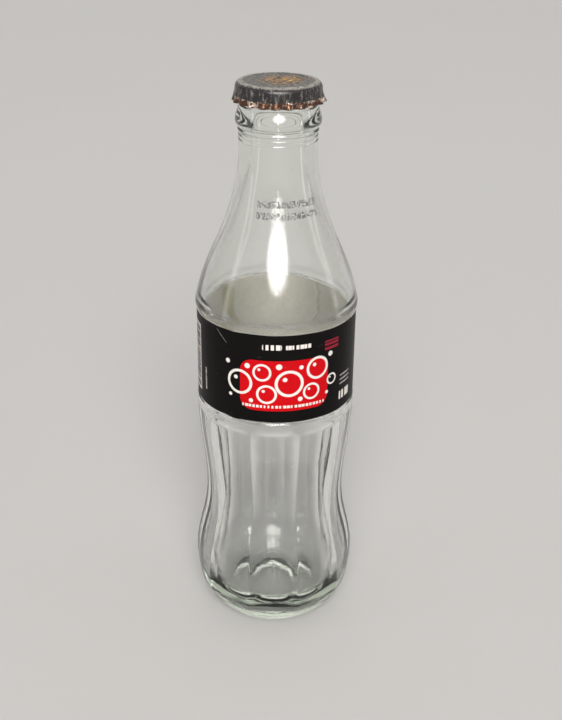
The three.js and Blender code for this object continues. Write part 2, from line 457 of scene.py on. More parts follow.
def collection():
    """The collection that everything goes into."""
    return bpy.context.scene.collection


def piece(name, mesh, body, replaced=()):
    """Puts a finished mesh in the scene as a piece that rides on a body."""
    thing = bpy.data.objects.new(name, mesh)
    collection().objects.link(thing)
    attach(thing, body)
    for node in replaced:
        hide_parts(node)
    return thing


SOCKET_KINDS = {int: "Int", float: "Float", bpy.types.Material: "Material"}


def new_tree(name, values):
    """A Geometry Nodes tree with a Geometry input and output, and an input for each value."""
    tree = bpy.data.node_groups.new(name, "GeometryNodeTree")
    sockets = tree.interface
    sockets.new_socket("Geometry", in_out="OUTPUT", socket_type="NodeSocketGeometry")
    sockets.new_socket("Geometry", in_out="INPUT", socket_type="NodeSocketGeometry")
    for label, value in values.items():
        kind = "NodeSocket" + SOCKET_KINDS[type(value)]
        sockets.new_socket(label, in_out="INPUT", socket_type=kind)
    graph = Graph(tree)
    given = graph.add("NodeGroupInput").outputs
    return tree, graph, given


def close_tree(graph, geometry, material):
    """Ends a tree in Realize Instances and Set Material."""
    realized = graph.add("GeometryNodeRealizeInstances")
    graph.feed(realized.inputs[0], geometry)
    painted = graph.add("GeometryNodeSetMaterial")
    graph.feed(painted.inputs["Geometry"], realized.outputs[0])
    graph.feed(painted.inputs["Material"], material)
    ending = graph.add("NodeGroupOutput")
    graph.feed(ending.inputs[0], painted.outputs[0])


def shaped(mesh, tree, values):
    """The mesh that a tree makes of another, as plain geometry."""
    source = bpy.data.objects.new("source", mesh)
    collection().objects.link(source)
    modifier = source.modifiers.new("shape", "NODES")
    modifier.node_group = tree
    identifiers = {
        item.name: item.identifier
        for item in tree.interface.items_tree
        if item.in_out == "INPUT"
    }
    for label, value in values.items():
        modifier[identifiers[label]] = value
    depsgraph = bpy.context.evaluated_depsgraph_get()
    result = bpy.data.meshes.new_from_object(source.evaluated_get(depsgraph), depsgraph=depsgraph)
    source.modifiers.remove(modifier)
    bpy.data.objects.remove(source)
    bpy.data.meshes.remove(mesh)
    result.name = tree.name
    return result


# ---- Glass ----

BEARING_INNER, BEARING_OUTER = 15.2 * MM, 18.7 * MM
HEEL_RISE, HEEL_RUN, HEEL_LEAN = 0.8 * MM, 1 * MM, 1.2
BUMPER_PROUD, BUMPER_LEAN = 0.55 * MM, -0.22
THROAT_LEAN = -0.46
BAND_START, BAND_PITCH, BAND_TO_COLLAR = 1 * MM, 1.6 * MM, 1 * MM
BANDS = ((0.15 * MM, 0.45 * MM), (0.15 * MM, 0.45 * MM), (0.35 * MM, 0.75 * MM))
COLLAR_CREST, UNDERCUT_RADIUS, UNDERCUT_FLARE = 2.2 * MM, 12.8 * MM, 1.2 * MM
MOUTH_RADIUS, BORE_ROUND = 11.2 * MM, 0.8 * MM
LOCK_RING_HEIGHT = 3.4 * MM
FLUTE_FADE_LOW, FLUTE_FADE_HIGH, FLUTE_TOP_FADE = 8 * MM, 22 * MM, 1.7 * MM
RIDGE_SOFTNESS, RIDGE_CROWDING = 0.05, 0.7
SEAM_PROUD, SEAM_HALF = 0.07 * MM, 0.35 * MM
KNURL_COUNT, KNURL_DEPTH = 60, 0.18 * MM
FLOOR_CROWN, FLOOR_RADIUS, BORE_LENGTH = 0.8 * MM, 14 * MM, 14 * MM
GLASS_SIDES, GLASS_SPAN = 200, 1.55 * MM
WAVE_SIZE = 22 * MM
GLASS_IOR, TINT_DENSITY = 1.52, 22.0
BASE_EASE, PANEL_EASE, MOUTH_EASE = 0.7 * MM, 0.6 * MM, 0.5 * MM
PANEL_TOP_STEP, PANEL_TOP_RISE = 0.25 * MM, 0.1 * MM
KNURL_FADE, WAVE_FADE, SEAM_START, SEAM_FULL = 0.6 * MM, 30 * MM, 2 * MM, 6 * MM

# Bands where bottles rub together: half width and strength.
BULGE_RUB, BUMPER_RUB, RING_RUB = (5 * MM, 0.55), (1.3 * MM, 0.75), (1.2 * MM, 0.4)


def smooth_share(value, start, end):
    """A smooth share from 0 to 1 as value goes from start to end."""
    t = min(max((value - start) / (end - start), 0), 1)
    return t * t * (3 - 2 * t)


class GlassHeights:
    """The heights that follow from the stacked bands."""

    def __init__(self, s):
        self.waist = s.bulge_height + s.bulge_to_waist
        self.ring = self.waist + s.waist_to_ring
        self.panel = LABEL_LOW - s.panel_margin
        self.panel_top = LABEL_HIGH + s.panel_margin
        self.bumper = self.panel_top + s.bumper_rise
        self.shoulder = self.bumper + s.bumper_fall
        self.throat = self.shoulder + s.shoulder_height
        self.neck_top = self.throat + s.neck_height
        self.collar = self.neck_top + BAND_START + (len(BANDS) - 1) * BAND_PITCH + BAND_TO_COLLAR
        self.undercut = self.collar + s.collar_height
        self.lock_ring = self.undercut + LOCK_RING_HEIGHT
        self.mouth = GLASS_TOP


def glass_stations(s, z):
    """The stations of the outside wall, by name."""
    return {
        "heel": Station(HEEL_RISE, BEARING_OUTER + HEEL_RUN, HEEL_LEAN),
        "bulge": Station(s.bulge_height, GLASS_RADIUS, 0),
        "waist": Station(z.waist, s.waist_radius, 0),
        "ring": Station(z.ring, s.ring_radius, 0),
        "shoulder": Station(z.shoulder, s.bumper_radius - BUMPER_PROUD, BUMPER_LEAN),
        "throat": Station(z.throat, s.throat_radius, THROAT_LEAN),
        "neck": Station(z.neck_top, s.neck_radius, 0),
    }


def underside_outline(s):
    """The hollow under the base, from the axis to the bearing ring and over its outer edge."""
    steps = 12
    dome = [
        (BEARING_INNER * i / steps, s.push_up * math.cos(math.pi / 2 * i / steps))
        for i in range(steps)
    ]
    ring = [(BEARING_INNER, 0), (BEARING_OUTER, 0), (BEARING_OUTER + HEEL_RUN, HEEL_RISE)]
    return eased(dome + ring, BASE_EASE)[:-1]


def body_outline(s, z, at):
    """The fluted body, the smooth ring and the label's panel."""
    fluted = wall_points([at["heel"], at["bulge"], at["waist"], at["ring"]], 24)
    ring_and_panel = [
        (s.ring_radius, z.ring),
        (s.ring_radius, z.ring + s.ring_height),
        (s.panel_radius, z.panel),
        (s.panel_radius, z.panel_top),
        (s.panel_radius + PANEL_TOP_STEP, z.panel_top + PANEL_TOP_RISE),
    ]
    return fluted[:-1] + eased(ring_and_panel, PANEL_EASE)[:-1]


def shoulder_outline(s, z, at):
    """The bumper roll, the shoulder and the neck."""
    crest = Station(z.bumper, s.bumper_radius, 0)
    return [
        *quarter_round((s.panel_radius + 0.1 * MM, z.panel_top), (crest.r, crest.z), 7, True),
        *wall_points([crest, at["shoulder"]], 5),
        *wall_points([at["shoulder"], at["throat"], at["neck"]], 20),
    ]


def band_outline(s, z):
    """The fine bands under the collar, each a smooth swell."""
    points = []
    for i, (proud, half) in enumerate(BANDS):
        middle = z.neck_top + BAND_START + i * BAND_PITCH
        for k in range(9):
            share = k / 4 - 1
            swell = proud * math.cos(math.pi / 2 * share) ** 2
            points.append((s.neck_radius + swell, middle + share * half))
    return points


def finish_outline(s, z):
    """The collar, the undercut, the locking ring and the mouth."""
    crest = Station(z.collar + COLLAR_CREST, s.collar_radius, 0)
    undercut = Station(z.undercut, UNDERCUT_RADIUS, 0)
    lock_top = (s.lock_ring_radius, z.lock_ring)
    mouth = [
        (UNDERCUT_RADIUS, z.undercut),
        (s.lock_ring_radius, z.undercut + UNDERCUT_FLARE),
        *quarter_round(lock_top, (MOUTH_RADIUS, z.mouth), 10, False),
        (s.bore_radius + BORE_ROUND, z.mouth),
    ]
    lip = quarter_round(mouth[-1], (s.bore_radius, z.mouth - BORE_ROUND), 7, True)
    return [
        *quarter_round((s.neck_radius, z.collar), (crest.r, crest.z), 10, True),
        *wall_points([crest, undercut], 10),
        *eased(mouth, MOUTH_EASE),
        *lip,
    ]


def inside_outline(s, z, at):
    """The inner wall, from the mouth's bore down to the middle of the floor."""

    def inset(station):
        fade = smooth_share(station.z, FLUTE_FADE_LOW, FLUTE_FADE_HIGH)
        fade *= 1 - smooth_share(station.z, z.ring - FLUTE_TOP_FADE, z.ring)
        gap = s.wall * math.hypot(1, station.lean) + fade * s.flute_depth / 2
        return Station(station.z, station.r - gap, station.lean)

    bulge = inset(at["bulge"])
    bore_end = Station(z.mouth - BORE_LENGTH, s.bore_radius, 0)
    stations = [bulge, inset(at["waist"]), inset(at["ring"])]
    rising = wall_points(stations, 18)
    rising += wall_points([inset(at["shoulder"]), inset(at["throat"]), bore_end], 18)
    floor = s.push_up + s.base_thickness
    dome = [
        (FLOOR_RADIUS * i / 8, floor - FLOOR_CROWN * math.sin(math.pi / 2 * i / 8) ** 2)
        for i in range(9)
    ]
    heel = quarter_round(dome[-1], (bulge.r, bulge.z), 16, True)
    return [*dome, *heel, *rising][::-1]


def ridge_angles(flute_count):
    """Angles round the glass, crowded at the ridges so that they stay crisp."""
    turns = [k * flute_count / GLASS_SIDES for k in range(GLASS_SIDES)]
    crowded = [t + RIDGE_CROWDING * math.sin(TURN * t) / TURN for t in turns]
    return [TURN * t / flute_count - math.pi / 2 for t in crowded]


def flute_tree(values):
    """Presses the flutes into the outside, knurls the bearing ring and makes the inside uneven."""
    tree, g, given = new_tree("bottle_glass_flutes", values)
    place = g.add("GeometryNodeInputPosition").outputs[0]
    mark = g.add("GeometryNodeInputNamedAttribute", data_type="FLOAT")
    mark.inputs["Name"].default_value = "outside"
    outside = mark.outputs[0]
    x, y, z = g.parts(place)
    radius, angle = g.radius_and_angle(x, y)

    turn = g.over(g.times(g.plus(angle, math.pi / 2), given["Flute Count"]), TURN)
    across = g.times(g.math("PINGPONG", turn, 0.5), 2.0)
    soft = given["Ridge Softness"]
    past = g.most(g.minus(across, g.minus(1.0, soft)), 0.0)
    eased_across = g.minus(across, g.over(g.times(past, past), g.times(soft, 2.0)))
    share = g.over(eased_across, g.minus(1.0, g.over(soft, 2.0)))
    sweep = g.minus(1.0, g.times(share, share))
    low = g.step(z, given["Fade Low"], given["Fade High"])
    high = g.fall(z, g.minus(given["Top Height"], given["Top Fade"]), given["Top Height"])
    flutes = g.times(given["Flute Depth"], sweep, low, high, outside)

    wave = g.minus(g.noise(place, g.over(1.0, given["Wave Size"]), 1.0, 0.4), 0.5)
    ceiling = g.fall(z, g.minus(given["Wave Ceiling"], WAVE_FADE), given["Wave Ceiling"])
    waves = g.times(wave, 2.0, given["Wave Depth"], ceiling, g.minus(1.0, outside))
    seam = g.near(y, 0.0, 0.0, given["Seam Half Width"])
    seam_run = g.times(g.step(z, SEAM_START, SEAM_FULL), ceiling, outside, given["Seam Proud"])
    outward = g.plus(g.minus(waves, flutes), g.times(seam, seam_run))
    outward = g.over(outward, g.most(radius, 1e-6))

    knurls = g.plus(0.5, g.times(0.5, g.math("COSINE", g.times(angle, given["Knurl Count"]))))
    ring_inner = g.step(radius, given["Bearing Inner"], g.plus(given["Bearing Inner"], KNURL_FADE))
    ring_outer = g.fall(radius, g.minus(given["Bearing Outer"], KNURL_FADE), given["Bearing Outer"])
    on_ring = g.times(ring_inner, ring_outer, g.fall(z, KNURL_FADE / 2, KNURL_FADE), outside)
    lift = g.times(knurls, given["Knurl Depth"], on_ring)

    moved = g.add("GeometryNodeSetPosition")
    g.feed(moved.inputs["Geometry"], given["Geometry"])
    g.feed(moved.inputs["Offset"], g.join(g.times(x, outward), g.times(y, outward), lift))
    close_tree(g, moved.outputs[0], given["Material"])
    return tree


def glass_material(s):
    """Clear soda glass: faintly green, rubbed pale where bottles touch, dusty on the shoulder."""
    z = GlassHeights(s)
    look = Look("clear_soda_glass")
    height = look.parts(look.place)[2]
    rub_noise = look.noise(look.stretched(1.0, 1.0, 2.2), 420.0, 5.0, 0.7)

    def contact(middle, half, strength):
        return look.times(look.near(height, middle, half * 0.2, half), strength)

    contact_wear = look.most(
        contact(s.bulge_height, *BULGE_RUB),
        contact(z.bumper, *BUMPER_RUB),
        contact(z.ring + s.ring_height / 2, *RING_RUB),
    )
    worn = look.times(contact_wear, look.step(rub_noise, 0.42, 0.66))
    dust = look.step(look.noise(look.place, 2600.0, 3.0, 0.7), 0.50, 0.66)
    on_shoulder = look.times(
        look.step(height, z.panel_top, z.shoulder), look.step(height, z.throat, z.neck_top, 1.0, 0.3)
    )
    dusty = look.times(dust, look.plus(0.03, look.times(on_shoulder, 0.17)))
    roughness = look.plus(0.02, look.plus(look.times(worn, 0.32), dusty))
    ripple = look.noise(look.stretched(1.0, 1.0, 0.55), 75.0, 2.0, 0.5)
    mark = look.add("ShaderNodeAttribute", attribute_name="outside").outputs["Fac"]
    low_down = look.step(height, 0.03, 0.06, 1.0, 0.3)
    inner_grain = look.noise(look.place, 360.0, 3.0, 0.6)
    inner_grain = look.times(inner_grain, look.minus(1.0, mark), low_down)
    skin = look.bump(inner_grain, 0.00022, 0.4, look.bump(ripple, 0.00022, 0.5))
    grit = look.bump(look.times(worn, rub_noise), 0.00012, 0.6, skin)
    look.set(
        Base_Color=(0.992, 0.996, 0.990),
        Metallic=0.0,
        Roughness=roughness,
        IOR=GLASS_IOR,
        Transmission_Weight=1.0,
        Normal=grit,
    )
    depth = look.add("ShaderNodeVolumeAbsorption")
    depth.inputs["Color"].default_value = (*s.tint, 1.0)
    depth.inputs["Density"].default_value = TINT_DENSITY
    look.tree.links.new(depth.outputs[0], look.output.inputs["Volume"])
    return look.material


class BOTTLE_OT_glass(bpy.types.Operator):
    """Builds the moulded glass, with its flutes, finish and push-up base"""

    bl_idname = "bottle.glass"
    bl_label = "Glass"

    def execute(self, context):
        s = context.scene.bottle_glass
        z = GlassHeights(s)
        at = glass_stations(s, z)
        outside = underside_outline(s) + body_outline(s, z, at) + shoulder_outline(s, z, at)
        outside = even(outside + band_outline(s, z) + finish_outline(s, z), GLASS_SPAN)
        outline = even(outside + inside_outline(s, z, at), GLASS_SPAN)
        mesh = spun("bottle_glass_blank", outline, ridge_angles(s.flute_count), len(outside))
        values = {
            "Flute Count": s.flute_count,
            "Flute Depth": s.flute_depth,
            "Ridge Softness": RIDGE_SOFTNESS,
            "Fade Low": FLUTE_FADE_LOW,
            "Fade High": FLUTE_FADE_HIGH,
            "Top Height": z.ring,
            "Top Fade": FLUTE_TOP_FADE,
            "Knurl Count": KNURL_COUNT,
            "Knurl Depth": KNURL_DEPTH,
            "Bearing Inner": BEARING_INNER,
            "Bearing Outer": BEARING_OUTER,
            "Wave Size": WAVE_SIZE,
            "Wave Depth": s.wave_depth,
            "Wave Ceiling": z.collar,
            "Seam Proud": SEAM_PROUD,
            "Seam Half Width": SEAM_HALF,
            "Material": glass_material(s),
        }
        made = shaped(mesh, flute_tree(values), values)
        piece("bottle_glass_moulded", made, "bottle", ["bottle_glass"])
        return {"FINISHED"}


# ---- Crown ----

CROWN_SIDES, CROWN_SPAN = 252, 0.45 * MM
FIRST_CREST = math.radians(-93.5)
PRY_ANGLE, PRY_SHARPNESS = math.radians(-12), 9.0
FACE_STEP_RADIUS, FACE_STEP_DEPTH = 10.1 * MM, 0.1 * MM
FACE_STEP_RUN, FACE_EASE, RIM_DROP = 0.4 * MM, 0.25 * MM, 0.08 * MM
RIM_WEAR_RADIUS, RIM_WEAR_FULL, RIM_WEAR_HALF = 12.3 * MM, 0.3 * MM, 1.5 * MM
TIP_HEIGHT, TIP_FADE, TIP_WANDER = 2.1 * MM, 0.4 * MM, 1.4 * MM
RUST_MIDDLE, RUST_FULL, RUST_END, RUST_RAGGED = (1.2 * MM, 0.2 * MM), 4 * MM, 9 * MM, 8 * MM
TOP_BAND_LOW, TOP_BAND_HIGH = CROWN_TOP - 0.75 * MM, CROWN_TOP - 0.25 * MM
FACE_GROOVE_RADIUS, FACE_GROOVE_DEPTH, FACE_GROOVE_HALF = 7.4 * MM, 0.07 * MM, 0.35 * MM


def crown_face(s):
    """The outer face of the crown's sheet, from the middle of its top to its foot."""
    edge = s.skirt_radius - s.corner
    top = [
        (0, CROWN_TOP - FACE_STEP_DEPTH),
        (FACE_GROOVE_RADIUS - FACE_GROOVE_HALF, CROWN_TOP - FACE_STEP_DEPTH),
        (FACE_GROOVE_RADIUS, CROWN_TOP - FACE_STEP_DEPTH - FACE_GROOVE_DEPTH),
        (FACE_GROOVE_RADIUS + FACE_GROOVE_HALF, CROWN_TOP - FACE_STEP_DEPTH),
        (FACE_STEP_RADIUS, CROWN_TOP - FACE_STEP_DEPTH),
        (FACE_STEP_RADIUS + FACE_STEP_RUN, CROWN_TOP),
    ]
    corner = quarter_round((edge, CROWN_TOP), (s.skirt_radius, CROWN_TOP - s.corner), 9, True)
    foot = (s.skirt_radius + s.taper, CROWN_FOOT)
    return even(eased(top + corner[:1], FACE_EASE)[:-1] + corner + [foot], CROWN_SPAN)


def inner_face(face, thickness):
    """Each point of a face moved in by the sheet's thickness, square to the face."""
    points = []
    for i, (r, z) in enumerate(face):
        before, after = face[max(i - 1, 0)], face[min(i + 1, len(face) - 1)]
        along = Vector((after[0] - before[0], after[1] - before[1])).normalized()
        points.append((max(r + along.y * thickness, 0), z - along.x * thickness))
    return points


def crown_tree(values):
    """Presses the flutes into the skirt and bends it out where it was pried open."""
    tree, g, given = new_tree("crown_shell_flutes", values)
    place = g.add("GeometryNodeInputPosition").outputs[0]
    x, y, z = g.parts(place)
    radius, angle = g.radius_and_angle(x, y)
    depth = g.math("POWER", g.ramp(z, given["Plain Height"], given["Foot Height"]), 1.5)
    wave = g.math("COSINE", g.times(g.minus(angle, given["First Crest"]), given["Flute Count"]))
    crests = g.plus(wave, g.times(0.18, g.minus(1.0, g.times(wave, wave))))
    flutes = g.times(given["Flute Swing"], depth, crests)
    facing = g.math("COSINE", g.minus(angle, given["Pry Angle"]))
    pried = g.math("POWER", g.most(facing, 0.0), given["Pry Sharpness"])
    bent = g.times(given["Pry Spread"], pried, depth, depth)
    outward = g.over(g.plus(flutes, bent), radius)
    raised = g.times(given["Pry Spread"], 0.7, pried, depth)
    moved = g.add("GeometryNodeSetPosition")
    g.feed(moved.inputs["Geometry"], given["Geometry"])
    g.feed(moved.inputs["Offset"], g.join(g.times(x, outward), g.times(y, outward), raised))
    close_tree(g, moved.outputs[0], given["Material"])
    return tree


def crown_material(s):
    """Black enamel on steel: rubbed grey on top, rusty in the middle, worn through at the flutes' tips,
    where pale patches are painted glints.
    """
    look = Look("worn_black_enamel")
    x, y, height = look.parts(look.place)
    radius, _ = look.radius_and_angle(x, y)
    mark = look.add("ShaderNodeAttribute", attribute_name="outside").outputs["Fac"]
    outside = look.step(mark, 0.4, 0.6)
    fine = look.noise(look.place, 1500.0, 6.0, 0.72)
    coarse = look.noise(look.place, 330.0, 5.0, 0.65)
    scratch = look.noise(look.stretched(0.6, 1.2, 1.0), 1000.0, 4.0, 0.65, 0.9)

    on_top = look.step(height, TOP_BAND_LOW, TOP_BAND_HIGH)
    mottle = look.plus(look.times(fine, 0.6), look.times(scratch, 0.4))
    blotch = look.noise(look.place, 470.0, 5.0, 0.7, 0.4)
    top_wear = look.times(on_top, look.step(mottle, 0.42, 0.54), look.step(blotch, 0.36, 0.56, 0.3, 0.85))
    side_scratch = look.noise(look.stretched(1.0, 1.0, 0.22), 1100.0, 4.0, 0.7)
    side_wear = look.times(look.step(side_scratch, 0.52, 0.66), 0.75)
    rim_ring = look.near(radius, RIM_WEAR_RADIUS, RIM_WEAR_FULL, RIM_WEAR_HALF)
    rim_wear = look.times(rim_ring, on_top, look.step(fine, 0.34, 0.5))
    worn = look.most(top_wear, side_wear, rim_wear)

    off_centre = look.vector("SUBTRACT", look.place, (*RUST_MIDDLE, CROWN_TOP))
    spread = look.vector("LENGTH", look.vector("MULTIPLY", off_centre, (1.0, 1.0, 0.0)))
    ragged = look.plus(spread, look.times(look.minus(coarse, 0.5), RUST_RAGGED))
    patch = look.times(look.fall(ragged, RUST_FULL, RUST_END), on_top)
    wander = look.plus(height, look.times(look.minus(coarse, 0.5), TIP_WANDER))
    tips = look.step(wander, CROWN_FOOT + TIP_HEIGHT, CROWN_FOOT + TIP_HEIGHT - TIP_FADE)
    specks = look.times(look.step(fine, 0.60, 0.70), look.step(coarse, 0.45, 0.60), 0.7)
    rust = look.most(look.times(patch, look.step(fine, 0.40, 0.58)), specks)

    metal = look.mix(look.step(fine, 0.43, 0.57), (0.024, 0.022, 0.020), (0.22, 0.202, 0.18))
    metal = look.mix(look.times(rim_wear, 0.6), metal, (0.42, 0.40, 0.37))
    enamel = look.mix(worn, tuple(s.enamel), metal)
    rust_dark = look.mix(look.step(blotch, 0.45, 0.55), (0.04, 0.022, 0.014), tuple(s.rust))
    rust_colour = look.mix(look.step(scratch, 0.53, 0.62), rust_dark, (0.60, 0.40, 0.17))
    shown = look.mix(rust, enamel, rust_colour)
    lacquer = look.mix(look.step(coarse, 0.55, 0.68), (0.50, 0.42, 0.27), (0.16, 0.08, 0.035))
    # Flutes' tips: dark copper and steel, with pale patches that are partly bright steel and partly
    # painted glints.
    bare_metal_and_glints = look.mix(look.step(blotch, 0.42, 0.51), (0.80, 0.65, 0.56), (0.12, 0.062, 0.040))
    shown = look.mix(tips, shown, look.mix(look.step(fine, 0.50, 0.62), bare_metal_and_glints, (0.07, 0.045, 0.035)))
    metallic = look.most(look.times(worn, 0.55, look.minus(1.0, rust)), look.times(tips, 0.95))
    roughness = look.plus(0.17, look.plus(look.times(worn, 0.25), look.times(rust, 0.4)))
    texture = look.plus(look.times(fine, 0.6), look.plus(look.times(rust, 0.6), look.times(worn, -0.35)))
    look.set(
        Base_Color=look.mix(outside, lacquer, shown),
        Metallic=look.most(metallic, look.times(look.minus(1.0, outside), 0.8)),
        Roughness=look.math("MINIMUM", roughness, 0.8),
        Specular_IOR_Level=0.35,
        Normal=look.bump(texture, 0.00016, 0.9),
    )
    return look.material


class BOTTLE_OT_crown(bpy.types.Operator):
    """Builds the fluted steel crown, worn, rusty and bent where it was pried open"""

    bl_idname = "bottle.crown"
    bl_label = "Crown"

    def execute(self, context):
        s = context.scene.bottle_crown
        face = crown_face(s)
        lining = inner_face(face, s.sheet)
        rim_r, rim_z = ((a + b) / 2 for a, b in zip(face[-1], lining[-1]))
        outline = [*lining, (rim_r, rim_z - RIM_DROP), *face[::-1]]
        mesh = spun("crown_shell_blank", outline, round_angles(CROWN_SIDES))
        marks = np.zeros(len(mesh.vertices), np.float32)
        marks[(len(lining) - 1) * CROWN_SIDES : -2] = 1.0
        marks[-1] = 1.0
        mesh.attributes["outside"].data.foreach_set("value", marks)
        values = {
            "Flute Count": s.flute_count,
            "First Crest": FIRST_CREST,
            "Flute Swing": s.flute_swing,
            "Plain Height": CROWN_TOP - s.plain_depth,
            "Foot Height": CROWN_FOOT,
            "Pry Angle": PRY_ANGLE,
            "Pry Sharpness": PRY_SHARPNESS,
            "Pry Spread": s.pry_spread,
            "Material": crown_material(s),
        }
        made = shaped(mesh, crown_tree(values), values)
        piece("crown_cap_shell", made, "crown", ["crown_shell"])
        return {"FINISHED"}


# ---- Liner ----

LINER_WEB, LINER_BEAD_INNER, LINER_BEVEL = 0.45 * MM, 8.5 * MM, 0.5 * MM
LINER_PRESS_RADIUS, LINER_PRESS_FULL, LINER_PRESS_HALF = 10.1 * MM, 0.2 * MM, 1 * MM
LINER_SIDES, LINER_EASE, LINER_SPAN = 96, 0.3 * MM, 0.8 * MM


def liner_material(s):
    """Soft moulded sealing compound, marked by the mouth and a little stained."""
    look = Look("moulded_liner")
    x, y, _ = look.parts(look.place)
    radius, _ = look.radius_and_angle(x, y)
    stain = look.noise(look.place, 260.0, 5.0, 0.6)
    pressed = look.near(radius, LINER_PRESS_RADIUS, LINER_PRESS_FULL, LINER_PRESS_HALF)
    clean = look.mix(stain, tuple(s.liner), tuple(c * 0.72 for c in s.liner))
    marked = look.mix(look.times(pressed, 0.5), clean, (0.30, 0.28, 0.24))
    spotted = look.mix(look.step(stain, 0.62, 0.72), marked, (0.33, 0.19, 0.09))
    grain = look.noise(look.place, 2200.0, 3.0, 0.6)
    look.set(
        Base_Color=spotted,
        Roughness=look.plus(0.42, look.times(grain, 0.2)),
        Subsurface_Weight=0.15,
        Normal=look.bump(grain, 0.00008, 0.5),
    )
    return look.material


class BOTTLE_OT_liner(bpy.types.Operator):
    """Builds the sealing liner that is moulded into the crown"""

    bl_idname = "bottle.liner"
    bl_label = "Liner"

    def execute(self, context):
        s = context.scene.bottle_crown
        outline = [
            (0, LINER_TOP - LINER_WEB),
            (4.5 * MM, LINER_TOP - LINER_WEB),
            (LINER_BEAD_INNER, LINER_TOP - LINER_WEB),
            (LINER_BEAD_INNER + LINER_BEVEL, LINER_FOOT),
            (LINER_RADIUS - LINER_BEVEL, LINER_FOOT),
            (LINER_RADIUS, LINER_FOOT + LINER_BEVEL),
            (LINER_RADIUS, LINER_TOP),
            (0, LINER_TOP),
        ]
        rounded = even(eased(outline, LINER_EASE, 5), LINER_SPAN)
        mesh = spun("crown_liner_disc", rounded, round_angles(LINER_SIDES))
        mesh.materials.append(liner_material(s))
        piece("crown_liner_disc", mesh, "crown", ["crown_liner"])
        return {"FINISHED"}


# ---- Closed sheets ----

SHARP_EDGE = math.radians(40)


def closed_sheet(name, vertices, columns, rows):
    """A closed thin sheet from the vertices of its outer side and then of its inner side.

    Each side's vertices run up one column after another. The outer side's faces come first.
    """
    stride = rows + 1
    total = stride * (columns + 1)
    corners = [column * stride + row for column in range(columns) for row in range(rows)]
    faces = [(a, a + stride, a + stride + 1, a + 1) for a in corners]
    faces += [tuple(total + v for v in (a, a + 1, a + stride + 1, a + stride)) for a in corners]
    rim = [column * stride for column in range(columns + 1)]
    rim += [columns * stride + row for row in range(1, stride)]
    rim += [column * stride + rows for column in range(columns - 1, -1, -1)]
    rim += range(rows - 1, 0, -1)
    faces += [(b, a, a + total, b + total) for a, b in zip(rim, rim[1:] + rim[:1])]
    mesh = bpy.data.meshes.new(name)
    mesh.from_pydata(vertices, [], faces)
    mesh.shade_smooth()
    mesh.set_sharp_from_angle(angle=SHARP_EDGE)
    return mesh


# ---- Label ----

LABEL_GAP, FRONT_ANGLE = 0.2 * MM, math.radians(270)
LABEL_COLUMNS, LABEL_ROWS = 360, 24
LAP_RISE, LAP_RISE_REACH, EDGE_WAVE = 0.5 * MM, 0.14, 0.1 * MM
CURL_ANGLE, CURL_REACH, CURL_LIFT = math.radians(-29), math.radians(5), 0.45 * MM
GLUE_WIDTH, GLUE_INSET, GLUE_THICKNESS, GLUE_GAP = 5 * MM, 1.2 * MM, 0.1 * MM, 0.05 * MM
GLUE_COLUMNS, GLUE_ROWS, GLUE_SWAY, GLUE_RIPPLE = 14, 60, 0.35 * MM, 0.2 * MM


class LabelStrip:
    """The label's run round the panel, from its inner end to its outer end."""

    def __init__(self, context):
        s = context.scene.bottle_label
        self.s = s
        self.radius = context.scene.bottle_glass.panel_radius + LABEL_GAP
        self.sweep = TURN + s.lap / self.radius
        self.length = self.radius * self.sweep
        self.height = LABEL_HIGH - LABEL_LOW
        self.front = (FRONT_ANGLE - s.start_angle) * self.radius

    def radius_at(self, swept):
        """The inner radius after turning that far from the inner end."""
        climb = (swept - TURN) * self.radius / self.s.ramp + 1
        rise = self.s.thickness + LABEL_GAP
        return self.radius + rise * smooth_share(climb, 0, 1)


def label_mesh(strip):
    """The strip with its thickness, a soft wave in its edges and one corner that lifts."""
    s = strip.s
    vertices, shares = [], []
    for offset in (s.thickness, 0.0):
        for column in range(LABEL_COLUMNS + 1):
            swept = strip.sweep * column / LABEL_COLUMNS
            angle = s.start_angle + swept
            for row in range(LABEL_ROWS + 1):
                up = row / LABEL_ROWS
                z = LABEL_LOW + strip.height * up
                edge = max(0.0, abs(up - 0.5) * 2 - 0.8) / 0.2
                wave = EDGE_WAVE * math.sin(angle * 7 + up) * math.sin(angle * 3 + 1.3)
                z += edge * wave * 0.8
                end_rise = smooth_share(swept, strip.sweep - LAP_RISE_REACH, strip.sweep)
                z += LAP_RISE * end_rise * up
                turned = (angle - FRONT_ANGLE - CURL_ANGLE) / CURL_REACH
                lift = CURL_LIFT * math.exp(-turned * turned) * max(0.0, 1 - up / 0.14) ** 2
                r = strip.radius_at(swept) + offset + edge * abs(wave) * 0.4 + lift
                vertices.append((r * math.cos(angle), r * math.sin(angle), z))
                shares.append((column / LABEL_COLUMNS, up))
    mesh = closed_sheet("label_sleeve", vertices, LABEL_COLUMNS, LABEL_ROWS)
    layer = mesh.uv_layers.new(name="strip")
    for loop in mesh.loops:
        layer.data[loop.index].uv = shares[loop.vertex_index]
    printed = LABEL_COLUMNS * LABEL_ROWS
    indices = [0] * printed + [1] * (len(mesh.polygons) - printed)
    mesh.polygons.foreach_set("material_index", indices)
    return mesh


PRINT_SOFT = 0.12


